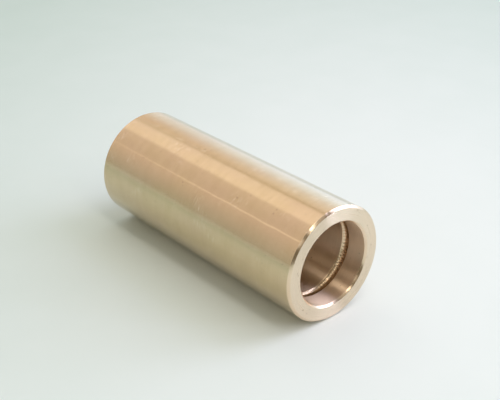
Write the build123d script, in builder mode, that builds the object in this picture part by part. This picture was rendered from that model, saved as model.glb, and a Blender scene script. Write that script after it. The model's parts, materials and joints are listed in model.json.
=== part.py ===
from build123d import *
import os

# Sleeve bushing: a thick-walled tube of cast bronze, turned, faced and bored from one bar.
# The bore runs along X, +Z is up, and the origin is the bore's centre at mid-length.
# Both ends are alike: a lead-in chamfer outside, a lead-in chamfer on the bore, and a
# round-bottomed ring groove in the bore's wall a short way in from the face.

# Driving dimensions, in millimetres
outer_diameter = 50.0
bore_diameter = 36.0
length = 125.0
outer_chamfer = 0.9
bore_chamfer = 0.8
groove_width = 3.5
groove_depth = 1.4
groove_inset = 9.6  # from the end face to the groove's nearer edge
groove_edge_radius = 0.2

outer_radius = outer_diameter / 2
bore_radius = bore_diameter / 2
wall = outer_radius - bore_radius
groove_centre = length / 2 - groove_inset - groove_width / 2

# A round-nosed tool cuts each groove. Its nose is sized to leave an arc groove_width wide
# at the bore's wall and groove_depth deep, and this is how far from the axis it turns.
nose_radius = (groove_width**2 / 4 + groove_depth**2) / (2 * groove_depth)
nose_centre_radius = bore_radius + groove_depth - nose_radius

with BuildPart() as bushing_sleeve:
    with BuildSketch(Plane.XZ) as wall_section:
        with Locations((0, bore_radius)):
            Rectangle(length, wall, align=(Align.CENTER, Align.MIN))
        corners = wall_section.vertices().group_by(Axis.Y)
        chamfer(corners[-1], outer_chamfer)
        chamfer(corners[0], bore_chamfer)

        with Locations((-groove_centre, nose_centre_radius), (groove_centre, nose_centre_radius)):
            Circle(nose_radius, mode=Mode.SUBTRACT)
        groove_edges = wall_section.vertices(Select.LAST).group_by(Axis.Y)[0]
        fillet(groove_edges, groove_edge_radius)
    revolve(axis=Axis.X)

bushing_sleeve.part.label = "bushing_sleeve"

os.makedirs("parts", exist_ok=True)
export_step(bushing_sleeve.part, "parts/bushing_sleeve.step")
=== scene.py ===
import json
import math
import random

import bmesh
import bpy
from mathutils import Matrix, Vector


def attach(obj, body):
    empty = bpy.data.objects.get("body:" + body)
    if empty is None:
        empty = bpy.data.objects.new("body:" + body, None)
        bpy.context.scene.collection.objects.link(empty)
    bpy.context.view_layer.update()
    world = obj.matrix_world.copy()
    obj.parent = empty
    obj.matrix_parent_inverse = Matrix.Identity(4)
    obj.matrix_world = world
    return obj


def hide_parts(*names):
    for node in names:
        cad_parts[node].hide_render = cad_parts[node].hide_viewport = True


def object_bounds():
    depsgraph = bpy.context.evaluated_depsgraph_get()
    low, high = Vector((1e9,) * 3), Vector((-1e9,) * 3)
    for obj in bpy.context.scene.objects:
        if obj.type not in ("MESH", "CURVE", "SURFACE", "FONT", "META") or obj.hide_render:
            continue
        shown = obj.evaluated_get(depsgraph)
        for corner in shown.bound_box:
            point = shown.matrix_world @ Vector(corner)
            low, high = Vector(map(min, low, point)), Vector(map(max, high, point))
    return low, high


# A turned bronze sleeve bushing lying on a pale floor. The CAD model gives every size; this
# script gives the machined surfaces: broken edges, tool marks, dings, chatter in the grooves.

NODE = "bushing_sleeve"
MM = 0.001

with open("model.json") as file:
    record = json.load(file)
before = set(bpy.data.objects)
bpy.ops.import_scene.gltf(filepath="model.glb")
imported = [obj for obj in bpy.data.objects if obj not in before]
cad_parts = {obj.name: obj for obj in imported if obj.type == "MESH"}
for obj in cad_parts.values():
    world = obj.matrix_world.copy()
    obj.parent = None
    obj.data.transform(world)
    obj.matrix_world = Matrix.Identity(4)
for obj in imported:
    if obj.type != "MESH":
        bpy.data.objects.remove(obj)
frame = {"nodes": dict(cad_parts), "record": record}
cad_low, cad_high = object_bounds()
mounts = {mount["name"]: mount for mount in frame["record"]["mounts"]}

half_length = cad_high.x
outer_r = min(cad_high.y, -cad_low.y, cad_high.z, -cad_low.z)
outer_half = mounts["housing_fit"]["dims"]["length_mm"] * MM / 2
bore_r = mounts["bore"]["dims"]["r_mm"] * MM
bore_half = mounts["bore"]["dims"]["length_mm"] * MM / 2


def groove_extent():
    """(start, end, deepest radius) of the groove at the +X end, read from the CAD mesh."""
    points = [(v.co.x, math.hypot(v.co.y, v.co.z)) for v in frame["nodes"][NODE].data.vertices]
    cut = [(x, r) for x, r in points if 0 < x < bore_half and 0.02 * MM < r - bore_r < 3 * MM]
    return min(x for x, r in cut), max(x for x, r in cut), max(r for x, r in cut)


groove_start, groove_end, groove_r = groove_extent()


# ---------------------------------------------------------------- the sleeve's mesh

SEGMENTS = 256          # around the sleeve
GROOVE_SEGMENTS = 1024  # around a groove's floor, where the chatter needs them
CHATTER_WAVES = 163     # chatter marks round one groove
CHATTER_DEPTH = 0.09 * MM
BEAT_WAVES = 87         # the slower beat that gathers them into beads
BEAT_DEPTH = 0.14 * MM
CHATTER_SIDE = math.radians(-122)  # where the chatter is heaviest
EDGE_RADIUS = 0.12 * MM
GUARD = 0.15 * MM       # a narrow row beside each edge keeps the shading of the flats crisp
CHAMFER_WAVER = 0.12 * MM
DINGS_PER_END = 7
SLOTS = {"turned": 0, "faced": 1, "edge": 2, "bored": 3, "groove": 4}


def turned_point(x, r, angle):
    return Vector((x, -r * math.sin(angle), r * math.cos(angle)))


def evenly(start, end, steps):
    """The points between start and end, both left out."""
    return [start + (end - start) * i / steps for i in range(1, steps)]


def rounded_corner(before, corner, after, steps=3):
    """Points of a small arc that takes the corner off a profile."""
    to_before = (before - corner).normalized()
    to_after = (after - corner).normalized()
    reach = EDGE_RADIUS / math.tan(to_before.angle(to_after) / 2)
    start, end = corner + to_before * reach, corner + to_after * reach
    return [
        start.lerp(corner, i / steps).lerp(corner.lerp(end, i / steps), i / steps)
        for i in range(steps + 1)
    ]


def half_profile():
    """(x, r, surface) round half the wall's section, from mid-length outside to mid-length inside."""
    lead_out, lead_in = Vector((0, outer_r)), Vector((0, bore_r))
    corners = [
        Vector((outer_half, outer_r)),
        Vector((half_length, outer_r - (half_length - outer_half))),
        Vector((half_length, bore_r + (half_length - bore_half))),
        Vector((bore_half, bore_r)),
    ]
    before, after = [lead_out, *corners[:-1]], [*corners[1:], lead_in]
    edges = [rounded_corner(*points) for points in zip(before, corners, after)]

    turned_end, bored_end = edges[0][0].x - GUARD, edges[3][-1].x - GUARD
    face_top, face_bottom = edges[1][-1].y - GUARD, edges[2][0].y + GUARD
    rows = [(x, outer_r, "turned") for x in (0, *evenly(0, turned_end, 26), turned_end)]
    rows += [(p.x, p.y, "edge") for p in edges[0] + edges[1]]
    face_radii = (face_top, *evenly(face_top, face_bottom, 14), face_bottom)
    rows += [(half_length, r, "faced") for r in face_radii]
    rows += [(p.x, p.y, "edge") for p in edges[2] + edges[3]]
    rows += [(x, bore_r, "bored") for x in (bored_end, *evenly(bored_end, groove_end, 6))]
    rows += groove_rows()
    rows += [(x, bore_r, "bored") for x in evenly(groove_start, 0, 14)]
    return rows


def groove_rows():
    """The groove's section: an arc as deep as the CAD groove, between two narrow guard rows."""
    middle, half_width = (groove_start + groove_end) / 2, (groove_end - groove_start) / 2
    depth = groove_r - bore_r
    nose = (half_width**2 + depth**2) / (2 * depth)
    swing = math.asin(half_width / nose)
    rows = [(groove_end + GUARD, bore_r, "bored")]
    for a in (swing, *evenly(swing, -swing, 14), -swing):
        rows.append((middle + nose * math.sin(a), groove_r - nose * (1 - math.cos(a)), "groove"))
    rows.append((groove_start - GUARD, bore_r, "bored"))
    return rows


def chatter(x, angle):
    """How far the chattering tool left the groove's wall proud, in metres."""
    across = (abs(x) - groove_start) / (groove_end - groove_start)
    heaviest_side = 0.5 + 0.5 * math.cos(angle - CHATTER_SIDE)
    strength = math.sin(math.pi * min(1, max(0, across)) ** 0.6) * (0.1 + 0.9 * heaviest_side**6)
    slant = 500 * abs(x)
    beat = 0.5 + 0.5 * math.cos(BEAT_WAVES * angle + slant + 1.5 * math.sin(3 * angle))
    ripple = 0.5 + 0.5 * math.cos(CHATTER_WAVES * angle + slant)
    return strength * (BEAT_DEPTH * beat + CHATTER_DEPTH * ripple)


def chamfer_waver(x, angle):
    """How much the hand-fed chamfer tool cut beyond the chamfer's line, in metres."""
    phase = 1.3 if x > 0 else 4.0
    slow = 0.3 * math.sin(2 * angle + phase)
    quick = 0.2 * math.sin(7 * angle + 2 * phase)
    return CHAMFER_WAVER * (0.5 + slow + quick)


def make_dings():
    """(end, angle, half width, depth) of small dents in the outer edges."""
    draw = random.Random(5)
    dings = []
    for end in (1, -1):
        for _ in range(DINGS_PER_END):
            place = draw.uniform(0, 2 * math.pi)
            half_width = draw.uniform(0.02, 0.05)
            depth = draw.uniform(0.03, 0.1) * MM
            dings.append((end, place, half_width, depth))
    return dings


def ding_depth(dings, x, angle):
    """How deep the dents are at this place on an outer edge, in metres."""
    depth = 0
    for end, place, half_width, deepest in dings:
        away = abs((angle - place + math.pi) % (2 * math.pi) - math.pi) / half_width
        if end * x > 0 and away < 1:
            depth += deepest * (0.5 + 0.5 * math.cos(math.pi * away))
    return depth


def sleeve_rows():
    """The rows right round the wall's section, both ends alike."""
    front = half_profile()
    rear = [(-x, r, surface) for x, r, surface in reversed(front)]
    return front + [(0.0, bore_r, "bored")] + rear[:-1]


def ring_points(x, r, surface, dings):
    """The points of one row round the sleeve, with the chatter, the waver and the dings."""
    count = GROOVE_SEGMENTS if surface == "groove" else SEGMENTS
    outer_edge = surface == "edge" and r > (outer_r + bore_r) / 2
    for i in range(count):
        angle = 2 * math.pi * i / count
        if surface == "groove":
            yield turned_point(x, r - chatter(x, angle), angle)
        elif outer_edge:
            cut = ding_depth(dings, x, angle) + chamfer_waver(x, angle) / 2
            side = math.copysign(1, x)
            on_the_face = abs(x) > half_length - EDGE_RADIUS
            on_the_outside = r > outer_r - EDGE_RADIUS
            along = 0 if on_the_face else cut
            down = 0 if on_the_outside else cut
            yield turned_point(x - side * along, r - down, angle)
        else:
            yield turned_point(x, r, angle)


def joining_faces(bm, ring, following):
    """Faces between two rings. Where one ring has more points, each face takes several of them."""
    count = min(len(ring), len(following))
    a, b = len(ring) // count, len(following) // count
    for i in range(count):
        lower = [ring[(i * a + j) % len(ring)] for j in range(a + 1)]
        upper = [following[(i * b + j) % len(following)] for j in range(b + 1)]
        yield bm.faces.new(lower + upper[::-1])


def joining_surface(first, second):
    """The surface that lies between two neighbouring rows."""
    if "groove" in (first, second):
        return "groove"
    if first == "edge" and second != "edge":
        return second
    return first


def build_sleeve():
    rows = sleeve_rows()
    dings = make_dings()
    bm = bmesh.new()
    rings = [[bm.verts.new(point) for point in ring_points(*row, dings)] for row in rows]
    for k, row in enumerate(rows):
        following = (k + 1) % len(rows)
        surface = joining_surface(row[2], rows[following][2])
        for face in joining_faces(bm, rings[k], rings[following]):
            face.material_index = SLOTS[surface]
            face.smooth = True
    bmesh.ops.triangulate(bm, faces=[f for f in bm.faces if len(f.verts) > 4])
    bmesh.ops.recalc_face_normals(bm, faces=bm.faces)
    mesh = bpy.data.meshes.new("sleeve_turned")
    bm.to_mesh(mesh)
    bm.free()
    return mesh


# ---------------------------------------------------------------- materials

def add_node(nt, kind, inputs=None, **settings):
    """A new node. inputs gives each socket a plain value or another node's output."""
    node = nt.nodes.new(kind)
    for name, value in settings.items():
        setattr(node, name, value)
    for socket, value in (inputs or {}).items():
        if isinstance(value, bpy.types.NodeSocket):
            nt.links.new(value, node.inputs[socket])
        else:
            node.inputs[socket].default_value = value
    return node


def math_node(nt, operation, *values):
    return add_node(nt, "ShaderNodeMath", dict(enumerate(values)), operation=operation).outputs[0]


def stretched_noise(nt, across, around, detail=2.0, on_face=False):
    """Noise with marks across wide and around long, in metres, that run round the sleeve.

    on_face measures across the marks from the axis, as on a faced end.
    """
    place = add_node(nt, "ShaderNodeTexCoord").outputs["Object"]
    split = add_node(nt, "ShaderNodeSeparateXYZ", {0: place})
    x, y, z = split.outputs
    if on_face:
        squares = math_node(nt, "ADD", math_node(nt, "MULTIPLY", y, y), math_node(nt, "MULTIPLY", z, z))
        x = math_node(nt, "SQRT", squares)
    sizes = ((x, across), (y, around), (z, around))
    steps = [math_node(nt, "DIVIDE", value, size) for value, size in sizes]
    vector = add_node(nt, "ShaderNodeCombineXYZ", dict(enumerate(steps))).outputs[0]
    noise = add_node(nt, "ShaderNodeTexNoise", {"Vector": vector, "Scale": 1.0, "Detail": detail})
    return noise.outputs["Fac"]


def mapped(nt, value, low, high, from_low=0.3, from_high=0.7):
    """value taken from its own range to the range from low to high, and held at the ends."""
    inputs = {0: value, 1: from_low, 2: from_high, 3: low, 4: high}
    return add_node(nt, "ShaderNodeMapRange", inputs).outputs[0]


def mixed_color(nt, factor, first, second):
    node = add_node(nt, "ShaderNodeMix", data_type="RGBA")
    for socket, value in zip((node.inputs[0], node.inputs[6], node.inputs[7]), (factor, first, second)):
        if isinstance(value, bpy.types.NodeSocket):
            nt.links.new(value, socket)
        else:
            socket.default_value = (*value, 1)
    return node.outputs[2]


BLUSH = (0.665, 0.495, 0.34)  # a rosier bronze, where the skin has aged
SCUFF = (0.88, 0.76, 0.57)    # bronze freshly rubbed
SPECK = (0.40, 0.29, 0.18)    # a pore


def scuffs(nt):
    """Where handling has left short bright strokes, more of them near the ends, from 0 to 1."""
    place = add_node(nt, "ShaderNodeTexCoord").outputs["Object"]
    along = add_node(nt, "ShaderNodeSeparateXYZ", {0: place}).outputs["X"]
    from_middle = math_node(nt, "ABSOLUTE", along)
    near_end = mapped(nt, from_middle, 0.0, 0.08, 0.8 * half_length, 0.98 * half_length)
    areas = math_node(nt, "ADD", stretched_noise(nt, 14 * MM, 9 * MM), near_end)
    strokes = mapped(nt, stretched_noise(nt, 0.3 * MM, 3 * MM), 0.0, 0.7, 0.56, 0.70)
    return math_node(nt, "MULTIPLY", strokes, mapped(nt, areas, 0.0, 1.0, 0.56, 0.66))


def specks(nt):
    """Where a pore in the cast bronze shows, from 0 to 1."""
    return mapped(nt, stretched_noise(nt, 0.9 * MM, 0.9 * MM, 0.0), 0.0, 1.0, 0.81, 0.86)


def machined_bronze(
    name, light, dark, roughness, anisotropy, marks, wave,
    patch=(5 * MM, 9 * MM), on_face=False, worn=False,
):
    """Bronze with tool marks round the axis.

    light, dark: the metal's two tones. marks: (width, depth) of the fine tool marks.
    wave: (length, depth) of the surface's slight waviness. patch: (across, around) the
    patches of tone. All sizes are in metres.
    worn adds rosier patches, scuffs and the thin film of oil that handling leaves.
    """
    mat = bpy.data.materials.new(name)
    mat.use_nodes = True
    nt = mat.node_tree
    bsdf = nt.nodes["Principled BSDF"]
    bsdf.inputs["Metallic"].default_value = 1
    bsdf.inputs["Anisotropic"].default_value = anisotropy
    bsdf.inputs["Anisotropic Rotation"].default_value = 0.25
    tangent = add_node(nt, "ShaderNodeTangent", direction_type="RADIAL", axis="X")
    nt.links.new(tangent.outputs["Tangent"], bsdf.inputs["Tangent"])

    fine = stretched_noise(nt, marks[0], 18 * MM, on_face=on_face)
    broad = stretched_noise(nt, *patch, 3.0, on_face)
    waviness = stretched_noise(nt, wave[0] * 1.6, wave[0], 1.0, on_face)

    patches = math_node(nt, "MULTIPLY_ADD", fine, 0.4, math_node(nt, "MULTIPLY", broad, 0.6))
    color = mixed_color(nt, mapped(nt, patches, 0.0, 1.0, 0.35, 0.65), light, dark)
    color = mixed_color(nt, specks(nt), color, SPECK)
    rough = mapped(nt, patches, roughness * 0.9, roughness * 1.1)
    if worn:
        bsdf.inputs["Coat Weight"].default_value = 0.8
        bsdf.inputs["Coat Roughness"].default_value = 0.12
        blush = mapped(nt, stretched_noise(nt, 30 * MM, 14 * MM), 0.0, 0.35, 0.40, 0.62)
        color = mixed_color(nt, blush, color, BLUSH)
        scuff = scuffs(nt)
        color = mixed_color(nt, scuff, color, SCUFF)
        rough = math_node(nt, "MULTIPLY_ADD", scuff, 0.15, rough)
    nt.links.new(color, bsdf.inputs["Base Color"])
    nt.links.new(rough, bsdf.inputs["Roughness"])

    swell = add_node(nt, "ShaderNodeBump", {"Height": waviness, "Distance": wave[1], "Strength": 1.0})
    scored = add_node(nt, "ShaderNodeBump", {"Height": fine, "Distance": marks[1], "Strength": 1.0})
    nt.links.new(swell.outputs[0], scored.inputs["Normal"])
    nt.links.new(scored.outputs[0], bsdf.inputs["Normal"])
    return mat


def materials():
    """One finish for each machined surface, in the order of SLOTS."""
    return [
        machined_bronze(
            "bronze_turned", (0.675, 0.528, 0.322), (0.62, 0.478, 0.275), 0.16, 1.0,
            marks=(0.30 * MM, 0.010 * MM), wave=(8 * MM, 0.09 * MM), worn=True,
        ),
        machined_bronze(
            "bronze_faced", (0.855, 0.71, 0.55), (0.83, 0.685, 0.52), 0.26, 1.0,
            marks=(0.25 * MM, 0.075 * MM), wave=(6 * MM, 0.01 * MM),
            patch=(0.9 * MM, 25 * MM), on_face=True,
        ),
        machined_bronze(
            "bronze_edge", (0.85, 0.68, 0.50), (0.78, 0.60, 0.42), 0.24, 0.6,
            marks=(0.3 * MM, 0.004 * MM), wave=(3 * MM, 0.03 * MM),
        ),
        machined_bronze(
            "bronze_bored", (0.85, 0.655, 0.47), (0.78, 0.585, 0.405), 0.45, 1.0,
            marks=(0.25 * MM, 0.02 * MM), wave=(7 * MM, 0.006 * MM),
        ),
        machined_bronze(
            "bronze_groove", (0.82, 0.64, 0.45), (0.72, 0.55, 0.37), 0.24, 0.3,
            marks=(0.3 * MM, 0.004 * MM), wave=(2 * MM, 0.02 * MM),
        ),
    ]


sleeve = bpy.data.objects.new("bushing_sleeve_turned", build_sleeve())
bpy.context.scene.collection.objects.link(sleeve)
for material in materials():
    sleeve.data.materials.append(material)
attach(sleeve, "root")
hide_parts(NODE)


# ---------------------------------------------------------------- floor, light and camera

def make_floor():
    """A pale round floor whose tone holds painted light and shade: palest in an oval pool about the
    sleeve, darker and greener in a ring of painted shade further out, and painted paler again towards
    the rim.
    """
    mesh = bpy.data.meshes.new("floor")
    bm = bmesh.new()
    bmesh.ops.create_circle(bm, cap_ends=True, segments=96, radius=1.75)
    bmesh.ops.translate(bm, verts=bm.verts, vec=(0, 0, cad_low.z))
    bm.to_mesh(mesh)
    bm.free()
    floor = bpy.data.objects.new("floor", mesh)
    bpy.context.scene.collection.objects.link(floor)
    mat = bpy.data.materials.new("pale_floor")
    mat.use_nodes = True
    nt = mat.node_tree
    bsdf = nt.nodes["Principled BSDF"]
    oval = {
        "Vector": add_node(nt, "ShaderNodeTexCoord").outputs["Object"],
        "Location": (0.3 * half_length, 1.1 * half_length, 0),
        "Rotation": (0, 0, math.radians(50)),
        "Scale": (4.5 * half_length, 8 * half_length, 1),
    }
    # An oval pool of painted light about the sleeve; reach measures how far a point lies from its
    # middle.
    painted_light_pool = add_node(nt, "ShaderNodeMapping", oval, vector_type="TEXTURE").outputs[0]
    reach = add_node(nt, "ShaderNodeVectorMath", {0: painted_light_pool}, operation="LENGTH").outputs["Value"]
    shaded = mapped(nt, reach, 0.0, 1.0, 0.2, 1.1)
    lit_again = mapped(nt, reach, 0.0, 1.0, 1.1, 2.4)
    grain = mapped(nt, stretched_noise(nt, 30 * MM, 30 * MM, 4.0), -0.04, 0.04)
    # Painted shade: the floor darkens and turns greener in a ring beyond the pool, then is painted pale
    # again further out. (0.85, 0.87, 0.86) is the painted lit floor, (0.655, 0.73, 0.68) the painted
    # shade. The grain is the floor's own tone.
    painted_shade_and_grain = math_node(nt, "ADD", math_node(nt, "SUBTRACT", shaded, lit_again), grain)
    color = mixed_color(nt, painted_shade_and_grain, (0.85, 0.87, 0.86), (0.655, 0.73, 0.68))
    nt.links.new(color, bsdf.inputs["Base Color"])
    bsdf.inputs["Roughness"].default_value = 0.8
    bsdf.inputs["Specular IOR Level"].default_value = 0.2
    floor.data.materials.append(mat)


def panel(name, toward, distance, size, radiance, color=(1, 1, 1), along=0.0):
    """A soft panel in direction toward from the sleeve, facing it, its first side level.

    along moves it down the sleeve's axis, in metres.
    """
    data = bpy.data.lights.new(name, "AREA")
    data.shape = "RECTANGLE"
    data.size, data.size_y = size
    data.energy = math.pi * size[0] * size[1] * radiance
    data.color = color
    light = bpy.data.objects.new(name, data)
    direction = Vector(toward).normalized()
    light.location = direction * distance + Vector((along, 0, 0))
    light.rotation_mode = "QUATERNION"
    light.rotation_quaternion = direction.to_track_quat("Z", "Y")
    bpy.context.scene.collection.objects.link(light)
    return light


def make_lights():
    """Panels and a tube overhead, and a tall window behind the sleeve with a narrow gap beside it."""
    warm, daylight = (1.0, 0.95, 0.86), (0.88, 0.90, 1.22)
    panel("overhead", (0, 0.15, 1), 1.01, (3.2, 0.60), 0.32, warm)
    panel("ceiling_front", (0, -0.70, 0.71), 1.0, (1.3, 0.32), 0.7, warm, along=0.85)
    panel("ceiling_middle", (0, -0.17, 0.985), 1.0, (1.3, 0.16), 4.5, warm, along=0.85)
    panel("tube", (0, -0.70, 0.71), 1.0, (0.6, 0.05), 0.32, warm, along=-0.75)
    panel("window", (0.37, 0.74, 0.56), 1.6, (0.80, 1.60), 2.6, daylight)
    panel("window_gap", (0.80, 0.525, 0.20), 1.2, (0.006, 0.38), 190.0, daylight)


# The room round the sleeve, by angle about the sleeve's axis: 0 is overhead, -90 is level
# behind the sleeve (+Y) and 90 is level in front of it (-Y).
ROOM = [
    (-66, (1.14, 1.30, 1.52)),
    (-52, (1.07, 1.07, 1.13)),
    (-29.5, (1.13, 1.03, 0.92)),
    (-28, (0.42, 0.35, 0.22)),
    (-26, (0.42, 0.35, 0.22)),
    (-24.5, (0.86, 0.74, 0.68)),
    (15, (0.93, 0.80, 0.73)),
    (32, (0.85, 0.735, 0.66)),
    (50, (0.85, 0.735, 0.66)),
    (88, (0.58, 0.57, 0.51)),
]
FAR_LEFT = (0.82, 0.70, 0.58)  # how much of each colour the far left of the wall keeps
DOORWAY = (0.165, 0.142, 0.097)  # the dark room to the right, on this side of the window
# What dull surfaces get from the room: most from behind the sleeve, least from opposite.
AMBIENT = [
    (-90, (0.16, 0.19, 0.112)),
    (90, (0.865, 0.905, 0.855)),
]
AMBIENT_TOWARD = (0.38, 0.90, 0.15)
BACKGROUND = (0.72, 0.77, 0.75)  # what the camera sees beyond the floor


def color_ramp(nt, share, stops):
    """A color ramp over angles from -90 to 90 degrees, given as share from 0 to 1."""
    ramp = add_node(nt, "ShaderNodeValToRGB", {0: share})
    elements = ramp.color_ramp.elements
    while len(elements) < len(stops):
        elements.new(1.0)
    for element, (degrees, color) in zip(elements, stops):
        element.position = degrees / 180 + 0.5
        element.color = (*color, 1)
    return ramp.outputs[0]


def room_color(nt, direction):
    """What the bronze reflects: the wall and ceiling, dimmer at the far left, and the doorway."""
    x, y, z = add_node(nt, "ShaderNodeSeparateXYZ", {0: direction}).outputs
    angle = math_node(nt, "ARCTAN2", math_node(nt, "MULTIPLY", y, -1.0), z)
    share = math_node(nt, "MULTIPLY_ADD", angle, 1 / math.pi, 0.5)

    left = mapped(nt, x, 0.0, 1.0, -0.62, -0.74)
    far_left = math_node(nt, "MULTIPLY", left, mapped(nt, y, 0.0, 1.0, 0.30, 0.42))
    kept = mixed_color(nt, far_left, (1, 1, 1), FAR_LEFT)
    wall = {0: color_ramp(nt, share, ROOM), 1: kept}
    wall = add_node(nt, "ShaderNodeVectorMath", wall, operation="MULTIPLY").outputs[0]

    right = mapped(nt, x, 0.0, 1.0, 0.30, 0.40)
    doorway = math_node(nt, "MULTIPLY", right, mapped(nt, y, 1.0, 0.0, 0.58, 0.62))
    return mixed_color(nt, doorway, wall, DOORWAY)


def ambient_color(nt, direction):
    """What the room sheds on dull surfaces, such as the floor."""
    both = {0: direction, 1: AMBIENT_TOWARD}
    toward = add_node(nt, "ShaderNodeVectorMath", both, operation="DOT_PRODUCT").outputs["Value"]
    return color_ramp(nt, math_node(nt, "MULTIPLY_ADD", toward, 0.5, 0.5), AMBIENT)


def make_world():
    world = bpy.data.worlds.new("studio")
    bpy.context.scene.world = world
    world.use_nodes = True
    nt = world.node_tree
    nt.nodes.clear()
    direction = add_node(nt, "ShaderNodeTexCoord").outputs["Generated"]
    room = add_node(nt, "ShaderNodeBackground", {"Color": room_color(nt, direction)})
    ambient = add_node(nt, "ShaderNodeBackground", {"Color": ambient_color(nt, direction)})
    pale = add_node(nt, "ShaderNodeBackground", {"Color": (*BACKGROUND, 1)})
    path = add_node(nt, "ShaderNodeLightPath")
    lit = {0: path.outputs["Is Diffuse Ray"], 1: room.outputs[0], 2: ambient.outputs[0]}
    light = add_node(nt, "ShaderNodeMixShader", lit)
    seen = {0: path.outputs["Is Camera Ray"], 1: light.outputs[0], 2: pale.outputs[0]}
    mix = add_node(nt, "ShaderNodeMixShader", seen)
    add_node(nt, "ShaderNodeOutputWorld", {"Surface": mix.outputs[0]})


CAMERA_AZIMUTH = math.radians(48.65)
CAMERA_ELEVATION = math.radians(27.78)
CAMERA_DISTANCE = 15.41 * outer_r
CAMERA_LENS = 70.5


def make_camera():
    data = bpy.data.cameras.new("camera")
    data.sensor_width = 36
    data.lens = CAMERA_LENS
    data.clip_start, data.clip_end = 0.01, 20
    camera = bpy.data.objects.new("camera", data)
    a, e = CAMERA_AZIMUTH, CAMERA_ELEVATION
    back = Vector((math.sin(a) * math.cos(e), -math.cos(a) * math.cos(e), math.sin(e)))
    right = Vector((math.cos(a), math.sin(a), 0))
    up = back.cross(right)
    aim = Vector((half_length, 0, 0)) - right * 1.332 * outer_r + up * 1.021 * outer_r
    camera.location = aim + back * CAMERA_DISTANCE
    camera.rotation_mode = "QUATERNION"
    camera.rotation_quaternion = back.to_track_quat("Z", "Y")
    bpy.context.scene.collection.objects.link(camera)
    bpy.context.scene.camera = camera


make_floor()
make_world()
make_lights()
make_camera()
bpy.context.scene.view_settings.view_transform = "Standard"
